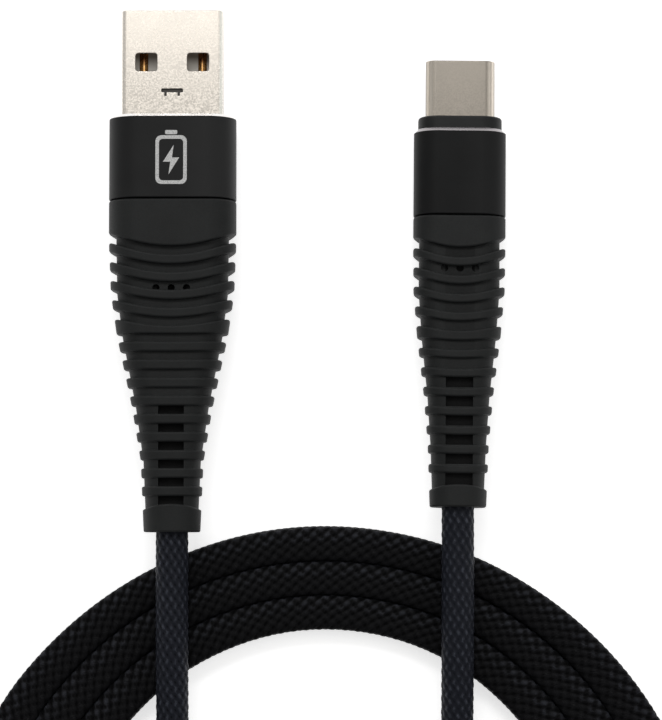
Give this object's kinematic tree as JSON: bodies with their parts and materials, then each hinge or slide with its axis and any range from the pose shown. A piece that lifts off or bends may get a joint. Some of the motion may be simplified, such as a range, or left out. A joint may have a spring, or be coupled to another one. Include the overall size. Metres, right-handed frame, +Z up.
{
  "type": "charging cable",
  "caption": "Coiled braided charging cable with a flat rectangular plug and a slim oval plug, each with a sleeve and a long ribbed strain relief.",
  "frame": {"origin": "on the table, in the middle of the box round the two plugs, without the cord", "axes": "+Y the way both plugs point, +X from the type-A plug to the type-C plug, +Z up from the table"},
  "size_m": [0.0896, 0.1504, 0.0091],
  "materials": {
    "shell_nickel": "satin nickel plate on steel, fine grain",
    "type_c_nickel": "warm satin nickel plate",
    "sleeve_black": "black anodised, with a bright cut chamfer",
    "boot_rubber": "fine matt grain",
    "mould_black": "moulded black plastic",
    "tongue_plastic": "grey moulded plastic",
    "insulator_black": "moulded black plastic",
    "contact_gold": "gold plate",
    "spring_steel": "stainless spring strip",
    "solder_tin": "bright solder",
    "screen_copper": "tinned copper braid",
    "jacket_plastic": "smooth thermoplastic elastomer",
    "cord_braid": "woven nylon braid",
    "wire_red": "insulation",
    "wire_white": "insulation",
    "wire_green": "insulation",
    "wire_black": "insulation",
    "board_green": "solder mask on glass laminate",
    "resistor_ceramic": "ceramic chip",
    "clamp_steel": "plated steel"
  },
  "bodies": {
    "root": {"cord_coil": "cord_braid", "cord_lead_a": "cord_braid", "cord_lead_c": "cord_braid", "type_a_boot": "boot_rubber", "type_a_braid_end": "cord_braid", "type_a_cable_clamp": "clamp_steel", "type_a_contact_data_minus": "contact_gold", "type_a_contact_data_plus": "contact_gold", "type_a_contact_ground": "contact_gold", "type_a_contact_power": "contact_gold", "type_a_core_mould": "mould_black", "type_a_jacket_end": "jacket_plastic", "type_a_screen_end": "screen_copper", "type_a_shell": "shell_nickel", "type_a_sleeve": "sleeve_black", "type_a_solder_joints": "solder_tin", "type_a_tongue": "tongue_plastic", "type_a_wire_black": "wire_black", "type_a_wire_green": "wire_green", "type_a_wire_red": "wire_red", "type_a_wire_white": "wire_white", "type_c_board": "board_green", "type_c_boot": "boot_rubber", "type_c_braid_end": "cord_braid", "type_c_cable_clamp": "clamp_steel", "type_c_contacts_lower": "contact_gold", "type_c_contacts_upper": "contact_gold", "type_c_core_mould": "mould_black", "type_c_ground_spring_lower": "spring_steel", "type_c_ground_spring_upper": "spring_steel", "type_c_insulator": "insulator_black", "type_c_jacket_end": "jacket_plastic", "type_c_resistor": "resistor_ceramic", "type_c_screen_end": "screen_copper", "type_c_shell": "type_c_nickel", "type_c_side_latches": "spring_steel", "type_c_sleeve": "sleeve_black", "type_c_solder_joints": "solder_tin", "type_c_wire_black": "wire_black", "type_c_wire_green": "wire_green", "type_c_wire_red": "wire_red", "type_c_wire_white": "wire_white"}
  },
  "joints": []
}
